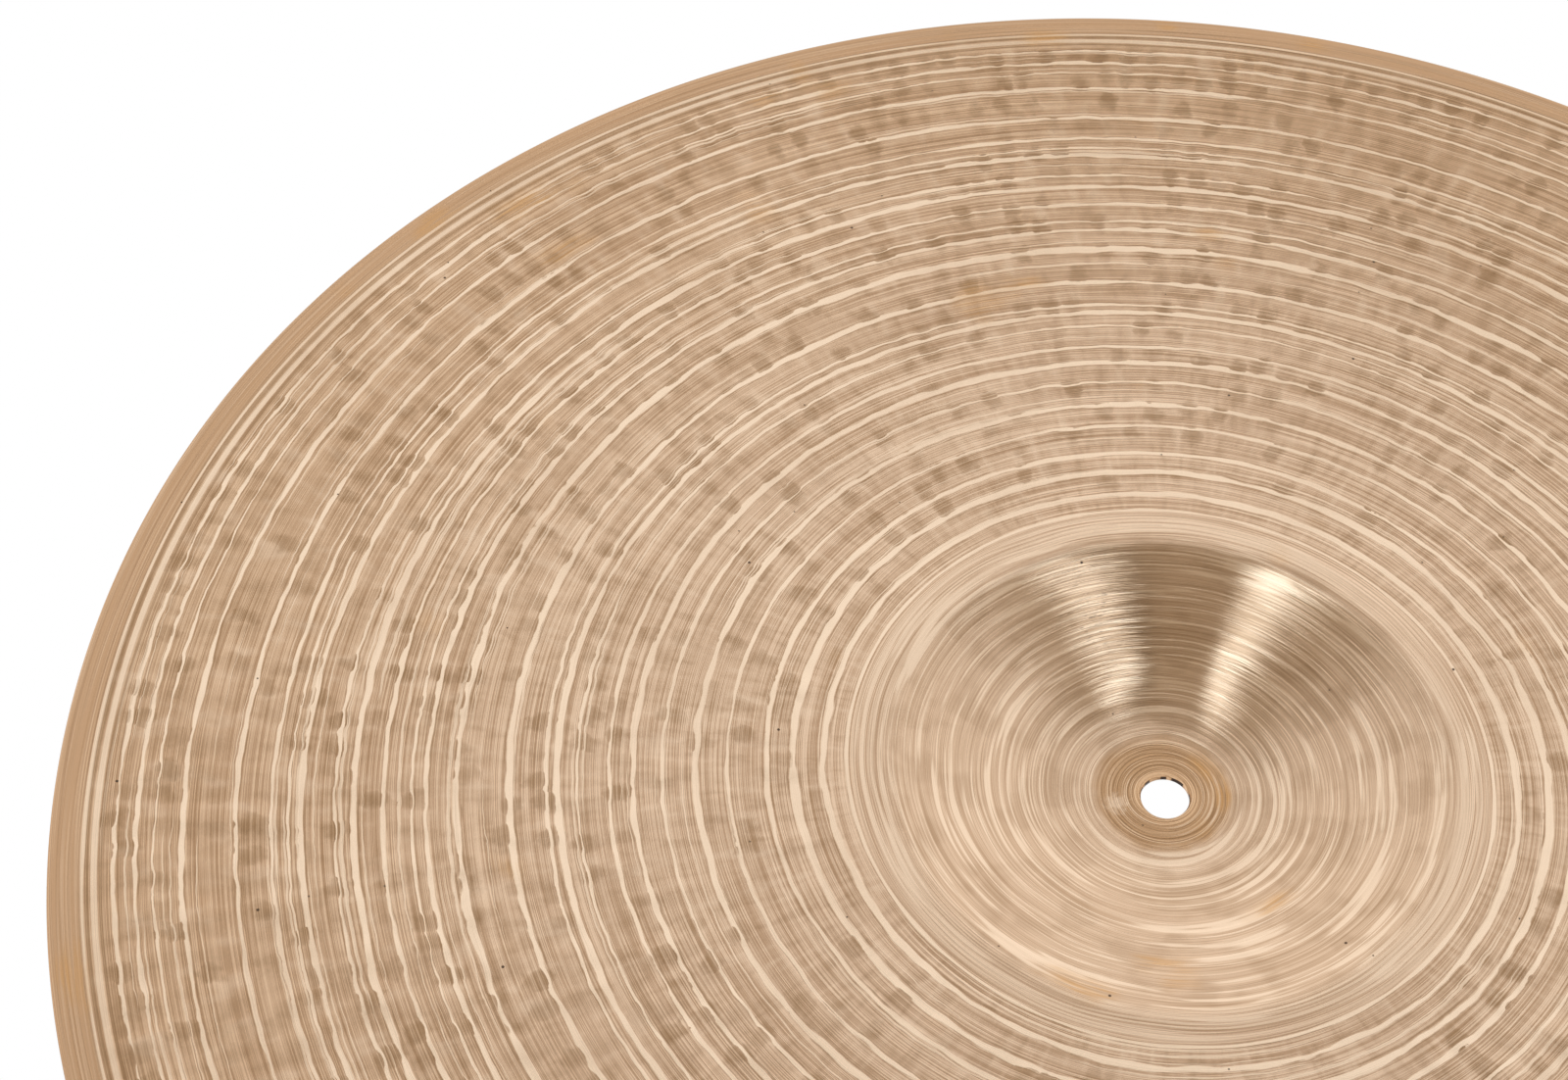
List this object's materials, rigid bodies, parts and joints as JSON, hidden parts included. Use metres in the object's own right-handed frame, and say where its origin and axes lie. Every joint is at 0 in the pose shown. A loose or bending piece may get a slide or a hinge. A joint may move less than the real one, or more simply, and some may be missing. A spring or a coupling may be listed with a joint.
{
  "type": "suspended cymbal",
  "caption": "Thin hammered bronze cymbal with a low bell, a shallow bow and a plain round hole for a stand's rod.",
  "frame": {"origin": "centre of the circle on which the cymbal's edge rests, on the cymbal's own axis", "axes": "+Z along the cymbal's axis, out of the bell's crown; X and Y are alike, because the plate is round"},
  "size_m": [0.5588, 0.5588, 0.0369],
  "materials": {
    "bronze": "bare cast bell bronze, hammered and turned, satin"
  },
  "bodies": {
    "root": {"cymbal_plate": "bronze"}
  },
  "joints": []
}
